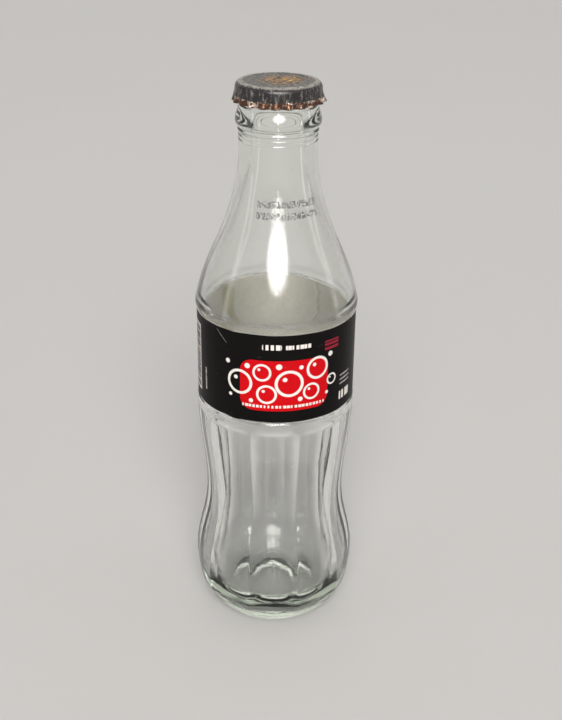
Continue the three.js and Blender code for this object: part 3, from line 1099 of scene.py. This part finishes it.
class PrintLook(Look):
    """A material that draws flat shapes in millimetres from the middle of the label's front."""

    def __init__(self, name, strip):
        super().__init__(name)
        uv = self.add("ShaderNodeUVMap", uv_map="strip").outputs[0]
        across, up, _ = self.parts(uv)
        self.across = self.minus(self.times(across, strip.length / MM), strip.front / MM)
        self.up = self.times(up, strip.height / MM)
        self.spot = self.join(self.across, self.up, 0.0)

    def block(self, x, y, width, height, corner):
        """A filled rectangle with round corners, from its middle and size."""
        away = self.vector("ABSOLUTE", self.vector("SUBTRACT", self.spot, (x, y, 0.0)))
        inner = (width / 2 - corner, height / 2 - corner, 0.0)
        past = self.vector("MAXIMUM", self.vector("SUBTRACT", away, inner), (0.0, 0.0, 0.0))
        return self.fall(self.vector("LENGTH", past), corner - PRINT_SOFT, corner)

    def disc(self, x, y, radius):
        gap = self.vector("DISTANCE", self.spot, (x, y, 0.0))
        return self.fall(gap, radius - PRINT_SOFT, radius)

    def hoop(self, x, y, radius, width):
        gap = self.vector("DISTANCE", self.spot, (x, y, 0.0))
        return self.near(gap, radius, width / 2 - PRINT_SOFT, width / 2)

    def dashes(self, along, pitch, share):
        """Strokes of uneven length that repeat along a line and say nothing."""
        cell = self.over(along, pitch)
        random = self.add("ShaderNodeTexWhiteNoise", noise_dimensions="1D")
        self.feed(random.inputs["W"], self.math("FLOOR", cell))
        fill = self.plus(share * 0.55, self.times(random.outputs[0], share * 0.65))
        return self.math("LESS_THAN", self.math("FRACT", cell), fill)

    def bar(self, x, y, width, height, corner, along, pitch, share):
        """A block that is broken into strokes."""
        return self.times(self.block(x, y, width, height, corner), self.dashes(along, pitch, share))


# Bubbles on the label's front: middle across and up, and radius, in millimetres.
BUBBLES = (
    (-12.4, 14.2, 4.6),
    (-4.6, 18.6, 3.3),
    (-3.0, 10.6, 3.6),
    (4.6, 14.6, 4.9),
    (12.4, 10.9, 3.2),
    (14.6, 19.2, 4.2),
    (20.6, 13.4, 2.3),
)
DROPS = (
    (-16.9, 20.9, 0.9),
    (-9.6, 20.6, 1.0),
    (-8.3, 7.9, 0.8),
    (1.1, 20.9, 1.1),
    (8.6, 20.3, 0.8),
    (8.4, 8.6, 0.9),
    (19.8, 23.0, 1.0),
    (-15.9, 8.8, 0.7),
    (18.6, 8.9, 0.7),
)


def label_print_material(strip):
    """Glossy black film with plain blocks, bubbles and bars in place of words."""
    s = strip.s
    look = PrintLook("label_print", strip)
    panel = look.block(3.3, 13.7, 31.2, 18.8, 4.5)
    lower_edge = look.step(look.up, 4.3, 4.5)
    panel = look.times(panel, lower_edge)

    walls = [look.hoop(x, y, radius - 0.5, 0.42 + radius * 0.14) for x, y, radius in BUBBLES]
    shines = [look.disc(x - radius * 0.3, y + radius * 0.32, radius * 0.17) for x, y, radius in BUBBLES]
    drops = [look.disc(x, y, radius) for x, y, radius in DROPS]

    foot_line = look.bar(3.0, 6.0, 29.0, 1.1, 0.2, look.across, 1.3, 0.75)
    heading_thick = look.bar(-1.3, 27.9, 6.6, 2.0, 0.5, look.across, 1.7, 0.95)
    heading_thin = look.bar(7.6, 27.8, 8.8, 1.6, 0.2, look.across, 1.35, 0.8)
    volume_bar = look.bar(28.2, 5.2, 6.6, 3.3, 0.4, look.across, 2.2, 0.9)
    notes = [
        look.bar(28.2, y, 6.8, 0.75, 0.15, look.across, 0.9, 0.85)
        for y in (9.6, 11.2, 12.8)
    ]
    side_line = look.bar(-28.6, 9.8, 1.0, 8.4, 0.15, look.up, 0.9, 0.85)
    facts = [
        look.bar(60.0, y, 30.0 - (k % 3) * 5.0, 0.8, 0.15, look.across, 1.1, 0.85)
        for k, y in enumerate((25.5, 23.3, 21.1, 16.2, 14.0, 11.8, 9.6))
    ]
    facts += [
        look.bar(-62.0, y, 26.0, 0.8, 0.15, look.across, 1.2, 0.85)
        for y in (26.0, 23.5, 21.0, 18.5, 16.0)
    ]
    strip_ground = look.block(-36.4, 15.9, 7.4, 25.0, 0.3)
    strip_bars = look.bar(-36.4, 15.9, 6.0, 23.0, 0.1, look.up, 1.5, 0.75)
    code_strip = look.times(strip_ground, look.minus(1.0, strip_bars))

    white = look.most(
        *walls, *shines, *drops, foot_line, heading_thick, heading_thin, volume_bar, code_strip
    )
    grey = look.times(look.most(*notes, side_line, *facts), 0.62)
    small_block = look.bar(20.4, 26.4, 6.4, 3.6, 0.5, look.up, 1.25, 0.95)

    smear = look.noise(look.place, 90.0, 4.0, 0.6)
    grain = look.noise(look.place, 3000.0, 3.0, 0.6)
    ground = look.mix(look.times(smear, 0.5), tuple(s.ground), (0.006, 0.005, 0.0045))
    inked = look.mix(panel, ground, look.mix(smear, tuple(s.panel), tuple(c * 0.8 for c in s.panel)))
    inked = look.mix(look.times(small_block, 0.7), inked, (0.22, 0.014, 0.03))
    inked = look.mix(grey, inked, tuple(s.print_white))
    inked = look.mix(look.times(white, look.ramp(grain, 0.2, 0.5, 0.86, 1.0)), inked, tuple(s.print_white))

    scuffs = look.noise(look.stretched(1.0, 1.0, 6.0), 240.0, 6.0, 0.75)
    scratch_line = look.minus(look.up, look.plus(29.0, look.times(look.plus(look.across, 19.5), -0.9)))
    near_scratch = look.times(
        look.near(scratch_line, 0.0, 0.05, 0.22),
        look.block(-19.6, 29.0, 4.6, 4.2, 0.5),
        look.step(grain, 0.40, 0.52),
    )
    edge_gap = look.math("MINIMUM", look.up, look.minus(strip.height / MM, look.up))
    edge_wear = look.times(look.fall(edge_gap, 0.05, 0.30), look.step(scuffs, 0.50, 0.62))
    rubbed = look.most(look.times(look.step(scuffs, 0.64, 0.74), 0.35), near_scratch, edge_wear)
    coloured = look.mix(look.times(rubbed, 0.55), inked, (0.40, 0.38, 0.36))

    wrinkle = look.noise(look.stretched(1.0, 1.0, 0.25), 130.0, 3.0, 0.55)
    soft = look.bump(wrinkle, 0.0005, 0.35)
    look.set(
        Base_Color=coloured,
        Roughness=look.plus(0.34, look.plus(look.times(rubbed, 0.3), look.times(smear, 0.12))),
        Specular_IOR_Level=0.06,
        Normal=look.bump(grain, 0.00003, 0.4, soft),
    )
    return look.material


def label_back_material(strip):
    """The film's pale inner side, with faint streaks, a rough line of dried glue and a pale crease, and
    darker lines of painted shadow beside them.
    """
    s = strip.s
    look = PrintLook("label_back", strip)
    streak = look.noise(look.stretched(1.0, 1.0, 0.08), 210.0, 4.0, 0.6)
    mottle = look.noise(look.place, 900.0, 4.0, 0.65)
    wander = look.noise(look.stretched(0.0, 0.0, 1.0), 260.0, 3.0, 0.6)
    crease_at = look.minus(look.across, look.plus(70.5, look.times(look.minus(wander, 0.5), 5.0)))
    crease = look.times(look.near(crease_at, 0.0, 0.2, 0.9), look.step(mottle, 0.44, 0.58))
    seam = look.near(look.across, -66.0, 0.25, 0.5)
    tone = look.mix(streak, tuple(s.backing), tuple(c * 0.86 for c in s.backing))
    tone = look.mix(look.times(look.step(mottle, 0.42, 0.62), 0.26), tone, (0.56, 0.52, 0.45))
    # Painted shadow: darker lines beside the seam and the crease, standing in for the shade a fold casts.
    painted_shadow = look.most(
        look.near(look.across, -67.1, 0.3, 1.0),
        look.times(look.near(crease_at, -1.1, 0.2, 0.9), 0.8),
    )
    tone = look.mix(look.times(painted_shadow, 0.5), tone, (0.36, 0.33, 0.28))
    tone = look.mix(look.most(crease, seam), tone, (1.0, 0.98, 0.93))
    relief = look.plus(look.times(streak, 0.6), look.times(look.most(crease, seam), 0.8))
    look.set(
        Base_Color=tone,
        Roughness=look.plus(0.5, look.times(mottle, 0.2)),
        Normal=look.bump(relief, 0.0003, 0.4),
    )
    return look.material


class BOTTLE_OT_label(bpy.types.Operator):
    """Wraps the printed film round the panel, lapped over its own start"""

    bl_idname = "bottle.label"
    bl_label = "Label"

    def execute(self, context):
        strip = LabelStrip(context)
        mesh = label_mesh(strip)
        mesh.materials.append(label_print_material(strip))
        mesh.materials.append(label_back_material(strip))
        piece("label_sleeve", mesh, "bottle", ["label"])
        return {"FINISHED"}


# ---- Glue ----


def glue_material():
    """Dried glue: yellowish, streaked along the strip and full of small bubbles."""
    look = Look("dried_glue")
    streak = look.noise(look.stretched(1.0, 1.0, 0.15), 700.0, 4.0, 0.6)
    bubbles = look.cells(look.place, 1400.0)
    tone = look.mix(streak, (0.62, 0.52, 0.30), (0.78, 0.71, 0.50))
    look.set(
        Base_Color=look.mix(look.step(bubbles, 0.12, 0.3, 0.6, 0.0), tone, (0.88, 0.85, 0.74)),
        Roughness=look.plus(0.3, look.times(streak, 0.3)),
        Subsurface_Weight=0.2,
        Normal=look.bump(look.plus(streak, bubbles), 0.00008, 0.6),
    )
    return look.material


def glue_mesh(name, strip, radius, phase):
    """A thin strip with wandering edges, as tall as the label less its inset."""
    low, high = LABEL_LOW + GLUE_INSET, LABEL_HIGH - GLUE_INSET
    vertices = []
    for offset in (GLUE_THICKNESS, 0.0):
        for column in range(GLUE_COLUMNS + 1):
            for row in range(GLUE_ROWS + 1):
                up = row / GLUE_ROWS
                wander = GLUE_SWAY * math.sin(up * 19 + phase)
                wander += GLUE_RIPPLE * math.sin(up * 47 + phase * 2)
                start, end = GLUE_INSET + wander, GLUE_INSET + GLUE_WIDTH - 0.8 * wander
                swept = (start + (end - start) * column / GLUE_COLUMNS) / strip.radius
                angle = strip.s.start_angle + swept
                r = radius + offset
                vertices.append((r * math.cos(angle), r * math.sin(angle), low + (high - low) * up))
    return closed_sheet(name, vertices, GLUE_COLUMNS, GLUE_ROWS)


class BOTTLE_OT_glue(bpy.types.Operator):
    """Lays the two strips of glue under the label's inner and outer ends"""

    bl_idname = "bottle.glue"
    bl_label = "Glue"

    def execute(self, context):
        strip = LabelStrip(context)
        material = glue_material()
        pickup = context.scene.bottle_glass.panel_radius + GLUE_GAP
        lap = strip.radius + strip.s.thickness + GLUE_GAP
        for node, radius, phase in (("label_pickup_glue", pickup, 0.4), ("label_lap_glue", lap, 2.1)):
            mesh = glue_mesh(node + "_strip", strip, radius, phase)
            mesh.materials.append(material)
            piece(node + "_strip", mesh, "bottle", [node])
        return {"FINISHED"}


# ---- Ink marks on the neck ----

MARK_ROWS, MARK_CELLS, MARK_DOTS_HIGH, MARK_DOTS_WIDE = 2, 13, 6, 4
MARK_PITCH, MARK_CELL_PITCH, MARK_ROW_PITCH = 0.36 * MM, 1.72 * MM, 3.6 * MM
MARK_START, MARK_LOW = math.radians(-25), 158.0 * MM
MARK_DOT, MARK_THICKNESS, MARK_LIFT = 0.175 * MM, 0.02 * MM, 0.06 * MM
MARK_FILL, MARK_SEED = 0.52, 4


def ink_material():
    """Black jet-printed ink, a little uneven."""
    look = Look("jet_ink")
    blot = look.noise(look.place, 2500.0, 3.0, 0.6)
    look.set(
        Base_Color=look.mix(blot, (0.008, 0.008, 0.009), (0.05, 0.045, 0.045)),
        Roughness=look.plus(0.35, look.times(blot, 0.3)),
    )
    return look.material


def marks_tree(values):
    """Dots in ragged cells that say nothing, laid on a cone round the neck."""
    tree, g, given = new_tree("neck_ink_marks", values)
    place = g.add("GeometryNodeInputPosition").outputs[0]
    x, _, z = g.parts(place)
    drop = g.add("FunctionNodeRandomValue", data_type="FLOAT")
    g.feed(drop.inputs["Seed"], given["Seed"])
    chance = next(o for o in drop.outputs if o.enabled and o.type == "VALUE")
    radius = g.plus(given["Low Radius"], g.times(z, given["Lean"]))
    angle = g.plus(g.plus(g.over(x, given["Low Radius"]), given["Start Angle"]), -math.pi / 2)
    spot = g.join(
        g.times(radius, g.math("COSINE", angle)),
        g.times(radius, g.math("SINE", angle)),
        g.plus(z, given["Low Height"]),
    )
    points = g.add("GeometryNodeMeshToPoints")
    g.feed(points.inputs["Mesh"], given["Geometry"])
    g.feed(points.inputs["Selection"], g.math("LESS_THAN", chance, given["Fill"]))
    g.feed(points.inputs["Position"], spot)
    dot = g.add("GeometryNodeMeshCylinder", fill_type="NGON")
    dot.inputs["Vertices"].default_value = 8
    g.feed(dot.inputs["Radius"], given["Dot Radius"])
    g.feed(dot.inputs["Depth"], given["Thickness"])
    here = g.add("GeometryNodeInputPosition").outputs[0]
    px, py, _ = g.parts(here)
    round_radius = g.math("SQRT", g.plus(g.times(px, px), g.times(py, py)))
    outward = g.join(px, py, g.times(round_radius, g.times(given["Lean"], -1.0)))
    align = g.add("FunctionNodeAlignRotationToVector", axis="Z")
    g.feed(align.inputs["Vector"], outward)
    copies = g.add("GeometryNodeInstanceOnPoints")
    g.feed(copies.inputs["Points"], points.outputs[0])
    g.feed(copies.inputs["Instance"], dot.outputs[0])
    g.feed(copies.inputs["Rotation"], align.outputs[0])
    close_tree(g, copies.outputs[0], given["Material"])
    return tree


def neck_line(s, height):
    """The neck's outer radius and lean at a height."""
    z = GlassHeights(s)
    at = glass_stations(s, z)
    points = wall_points([at["throat"], at["neck"]], 40)
    for (r0, z0), (r1, z1) in zip(points, points[1:]):
        if z0 <= height <= z1:
            lean = (r1 - r0) / (z1 - z0)
            return r0 + (height - z0) * lean, lean
    raise ValueError("the marks lie off the neck")


class BOTTLE_OT_marks(bpy.types.Operator):
    """Prints two rows of meaningless ink dots on the neck"""

    bl_idname = "bottle.marks"
    bl_label = "Ink marks"

    def execute(self, context):
        s = context.scene.bottle_glass
        cells = [
            (
                cell * MARK_CELL_PITCH + column * MARK_PITCH,
                0.0,
                row * MARK_ROW_PITCH + line * MARK_PITCH,
            )
            for row in range(MARK_ROWS)
            for cell in range(MARK_CELLS)
            for column in range(MARK_DOTS_WIDE)
            for line in range(MARK_DOTS_HIGH)
        ]
        mesh = bpy.data.meshes.new("marks_grid")
        mesh.from_pydata(cells, [], [])
        middle = MARK_LOW + (MARK_ROW_PITCH + MARK_DOTS_HIGH * MARK_PITCH) / 2
        radius, lean = neck_line(s, middle)
        values = {
            "Dot Radius": MARK_DOT,
            "Thickness": MARK_THICKNESS,
            "Fill": MARK_FILL,
            "Seed": MARK_SEED,
            "Low Height": MARK_LOW,
            "Low Radius": radius - (middle - MARK_LOW) * lean + MARK_LIFT,
            "Lean": lean,
            "Start Angle": MARK_START,
            "Material": ink_material(),
        }
        made = shaped(mesh, marks_tree(values), values)
        piece("neck_ink_marks", made, "bottle")
        return {"FINISHED"}


# ---- Dust ----

DUST_DENSITY, DUST_SEED, DUST_SIDES = 4.0e5, 11, 48
DUST_SMALLEST, DUST_LARGEST = 0.02 * MM, 0.09 * MM


def dust_material():
    """Pale household dust."""
    look = Look("pale_dust")
    tone = look.noise(look.place, 1800.0, 2.0, 0.5)
    look.set(
        Base_Color=look.mix(tone, (0.42, 0.40, 0.36), (0.72, 0.70, 0.66)),
        Roughness=look.plus(0.75, look.times(tone, 0.2)),
    )
    return look.material


def dust_tree(values):
    """Scatters tiny flakes over the skin that it is given."""
    tree, g, given = new_tree("shoulder_dust", values)
    scatter = g.add("GeometryNodeDistributePointsOnFaces", distribute_method="RANDOM")
    g.feed(scatter.inputs["Mesh"], given["Geometry"])
    g.feed(scatter.inputs["Density"], given["Density"])
    g.feed(scatter.inputs["Seed"], given["Seed"])
    size = g.add("FunctionNodeRandomValue", data_type="FLOAT")
    sockets = [i for i in size.inputs if i.enabled and i.name in ("Min", "Max")]
    g.feed(sockets[0], given["Smallest"])
    g.feed(sockets[1], given["Largest"])
    g.feed(size.inputs["Seed"], given["Seed"])
    chance = next(o for o in size.outputs if o.enabled)
    flake = g.add("GeometryNodeMeshIcoSphere")
    flake.inputs["Radius"].default_value = 1.0
    flake.inputs["Subdivisions"].default_value = 1
    copies = g.add("GeometryNodeInstanceOnPoints")
    g.feed(copies.inputs["Points"], scatter.outputs["Points"])
    g.feed(copies.inputs["Instance"], flake.outputs["Mesh"])
    g.feed(copies.inputs["Rotation"], scatter.outputs["Rotation"])
    g.feed(copies.inputs["Scale"], g.join(chance, chance, g.times(chance, 0.3)))
    close_tree(g, copies.outputs[0], given["Material"])
    return tree


class BOTTLE_OT_dust(bpy.types.Operator):
    """Settles fine dust on the shoulder and the neck"""

    bl_idname = "bottle.dust"
    bl_label = "Dust"

    def execute(self, context):
        s = context.scene.bottle_glass
        z = GlassHeights(s)
        at = glass_stations(s, z)
        wall = wall_points([at["shoulder"], at["throat"], at["neck"]], 14)
        skin = bpy.data.meshes.new("dust_skin")
        sides = DUST_SIDES
        vertices = [
            (r * math.cos(turn), r * math.sin(turn), height)
            for r, height in wall
            for turn in round_angles(sides)
        ]
        faces = []
        for row in range(len(wall) - 1):
            for k in range(sides):
                a, b = row * sides + k, row * sides + (k + 1) % sides
                faces.append((a, b, b + sides, a + sides))
        skin.from_pydata(vertices, [], faces)
        values = {
            "Density": DUST_DENSITY,
            "Smallest": DUST_SMALLEST,
            "Largest": DUST_LARGEST,
            "Seed": DUST_SEED,
            "Material": dust_material(),
        }
        made = shaped(skin, dust_tree(values), values)
        piece("shoulder_dust", made, "bottle")
        return {"FINISHED"}


# ---- Stage ----


def floor_material(s):
    """Plain pale matt floor."""
    look = Look("pale_floor")
    tone = look.noise(look.place, 3.0, 3.0, 0.5)
    look.set(
        Base_Color=look.mix(tone, tuple(s.floor_colour), tuple(c * 0.96 for c in s.floor_colour)),
        Roughness=0.75,
    )
    return look.material


def area_light(name, place, aim, width, height, power, tint=(1.0, 1.0, 1.0)):
    """Adds a rectangular light that faces its aim."""
    data = bpy.data.lights.new(name, "AREA")
    data.shape = "RECTANGLE"
    data.size, data.size_y = width, height
    data.energy = power
    data.color = tint
    light = bpy.data.objects.new(name, data)
    collection().objects.link(light)
    light.location = place
    light.rotation_euler = (Vector(place) - Vector(aim)).to_track_quat("Z", "Y").to_euler()
    return light


FRONT_LIGHT, FRONT_REACH = (0.03, -0.81, 0.58), math.radians(22)
FLOOR_HALF, LIGHT_BOUNCES = 6.0, 24
CLIP_NEAR, CLIP_FAR = 0.02, 50.0
KEY_PLACE, LEFT_PLACE, RIGHT_PLACE = (0.004, -0.42, 0.325), (-0.95, -0.25, 0.45), (0.95, 0.05, 0.45)
CEILING_PLACE = (0.1, 0.25, 1.4)
WALL_POWER, CEILING_POWER = 0.6, 2.5


def studio_world(s):
    """Soft light all round: brightest overhead and in front, darker low down and at the sides."""
    world = bpy.data.worlds.new("studio")
    world.use_nodes = True
    graph = Graph(world.node_tree)
    background = world.node_tree.nodes["Background"]
    x, y, z = graph.parts(graph.add("ShaderNodeTexCoord").outputs["Generated"])
    overhead = graph.step(z, 0.05, 0.75, 0.90, 1.15)
    side = graph.step(graph.math("ABSOLUTE", x), 0.45, 0.95, 1.0, 0.75)
    sky = graph.times(overhead, side, s.sky_strength)
    aim = graph.add("ShaderNodeVectorMath", operation="DOT_PRODUCT")
    graph.feed(aim.inputs[0], graph.join(x, y, z))
    aim.inputs[1].default_value = Vector(FRONT_LIGHT).normalized()
    front = graph.step(aim.outputs["Value"], math.cos(FRONT_REACH), 1.0, 0.0, s.front_strength)
    background.inputs["Color"].default_value = (1.0, 0.975, 0.94, 1.0)
    graph.feed(background.inputs["Strength"], graph.plus(sky, front))
    return world


class BOTTLE_OT_stage(bpy.types.Operator):
    """Lays the pale floor and sets up the soft light and the camera"""

    bl_idname = "bottle.stage"
    bl_label = "Stage"

    def execute(self, context):
        s = context.scene.bottle_stage
        camera_data = bpy.data.cameras.new("camera")
        camera_data.lens = s.lens
        camera_data.clip_start = CLIP_NEAR
        camera_data.clip_end = CLIP_FAR
        camera = bpy.data.objects.new("camera", camera_data)
        collection().objects.link(camera)
        turned = Matrix.Rotation(-s.yaw, 4, "Z")
        turned = turned @ Matrix.Rotation(math.pi / 2 - s.pitch, 4, "X")
        turned = turned @ Matrix.Rotation(s.roll, 4, "Z")
        camera.matrix_world = Matrix.Translation((0, -s.camera_distance, s.camera_height)) @ turned
        context.scene.camera = camera

        floor_mesh = bpy.data.meshes.new("floor")
        corners = [(x * FLOOR_HALF, y * FLOOR_HALF, 0) for x, y in ((-1, -1), (1, -1), (1, 1), (-1, 1))]
        floor_mesh.from_pydata(corners, [], [(0, 1, 2, 3)])
        floor_mesh.materials.append(floor_material(s))
        floor = bpy.data.objects.new("floor", floor_mesh)
        collection().objects.link(floor)

        context.scene.world = studio_world(s)
        context.scene.view_settings.view_transform = "Standard"
        context.scene.cycles.max_bounces = LIGHT_BOUNCES
        context.scene.cycles.transmission_bounces = LIGHT_BOUNCES

        middle = (0, 0, CROWN_TOP * 0.6)
        area_light("key", KEY_PLACE, middle, 0.012, 0.11, s.key_power, (1.0, 0.96, 0.90))
        area_light("left_wall", LEFT_PLACE, middle, 0.12, 0.9, WALL_POWER)
        area_light("right_wall", RIGHT_PLACE, middle, 0.12, 0.9, WALL_POWER)
        area_light("ceiling", CEILING_PLACE, (0, 0, 0), 1.4, 1.4, CEILING_POWER)
        return {"FINISHED"}


# ---- Panel and registration ----


class BOTTLE_PT_panel(bpy.types.Panel):
    """Lists the pieces' operators and their main sizes"""

    bl_idname = "BOTTLE_PT_panel"
    bl_label = "Glass soda bottle"
    bl_space_type = "VIEW_3D"
    bl_region_type = "UI"
    bl_category = "Bottle"

    def draw(self, context):
        layout = self.layout
        for step in STEPS:
            layout.operator(step.bl_idname)
        for settings, names in SHOWN_SETTINGS.items():
            box = layout.box()
            for name in names:
                box.prop(getattr(context.scene, settings), name)


STEPS = (
    BOTTLE_OT_stage,
    BOTTLE_OT_glass,
    BOTTLE_OT_crown,
    BOTTLE_OT_liner,
    BOTTLE_OT_label,
    BOTTLE_OT_glue,
    BOTTLE_OT_marks,
    BOTTLE_OT_dust,
)
SETTINGS = {
    "bottle_glass": GlassSettings,
    "bottle_crown": CrownSettings,
    "bottle_label": LabelSettings,
    "bottle_stage": StageSettings,
}
SHOWN_SETTINGS = {
    "bottle_glass": ("flute_count", "flute_depth", "wall", "tint"),
    "bottle_crown": ("flute_count", "flute_swing", "pry_spread", "enamel", "rust"),
    "bottle_label": ("start_angle", "lap", "ground", "panel", "print_white"),
    "bottle_stage": ("lens", "pitch", "floor_colour"),
}


def register():
    for cls in (*SETTINGS.values(), *STEPS, BOTTLE_PT_panel):
        bpy.utils.register_class(cls)
    for name, cls in SETTINGS.items():
        setattr(bpy.types.Scene, name, bpy.props.PointerProperty(type=cls))


def unregister():
    for name in SETTINGS:
        delattr(bpy.types.Scene, name)
    for cls in (BOTTLE_PT_panel, *reversed(STEPS), *SETTINGS.values()):
        bpy.utils.unregister_class(cls)


def main():
    register()
    bpy.ops.bottle.stage()
    bpy.ops.bottle.glass()
    bpy.ops.bottle.crown()
    bpy.ops.bottle.liner()
    bpy.ops.bottle.label()
    bpy.ops.bottle.glue()
    bpy.ops.bottle.marks()
    bpy.ops.bottle.dust()
    bpy.context.view_layer.update()


if __name__ == "__main__":
    main()
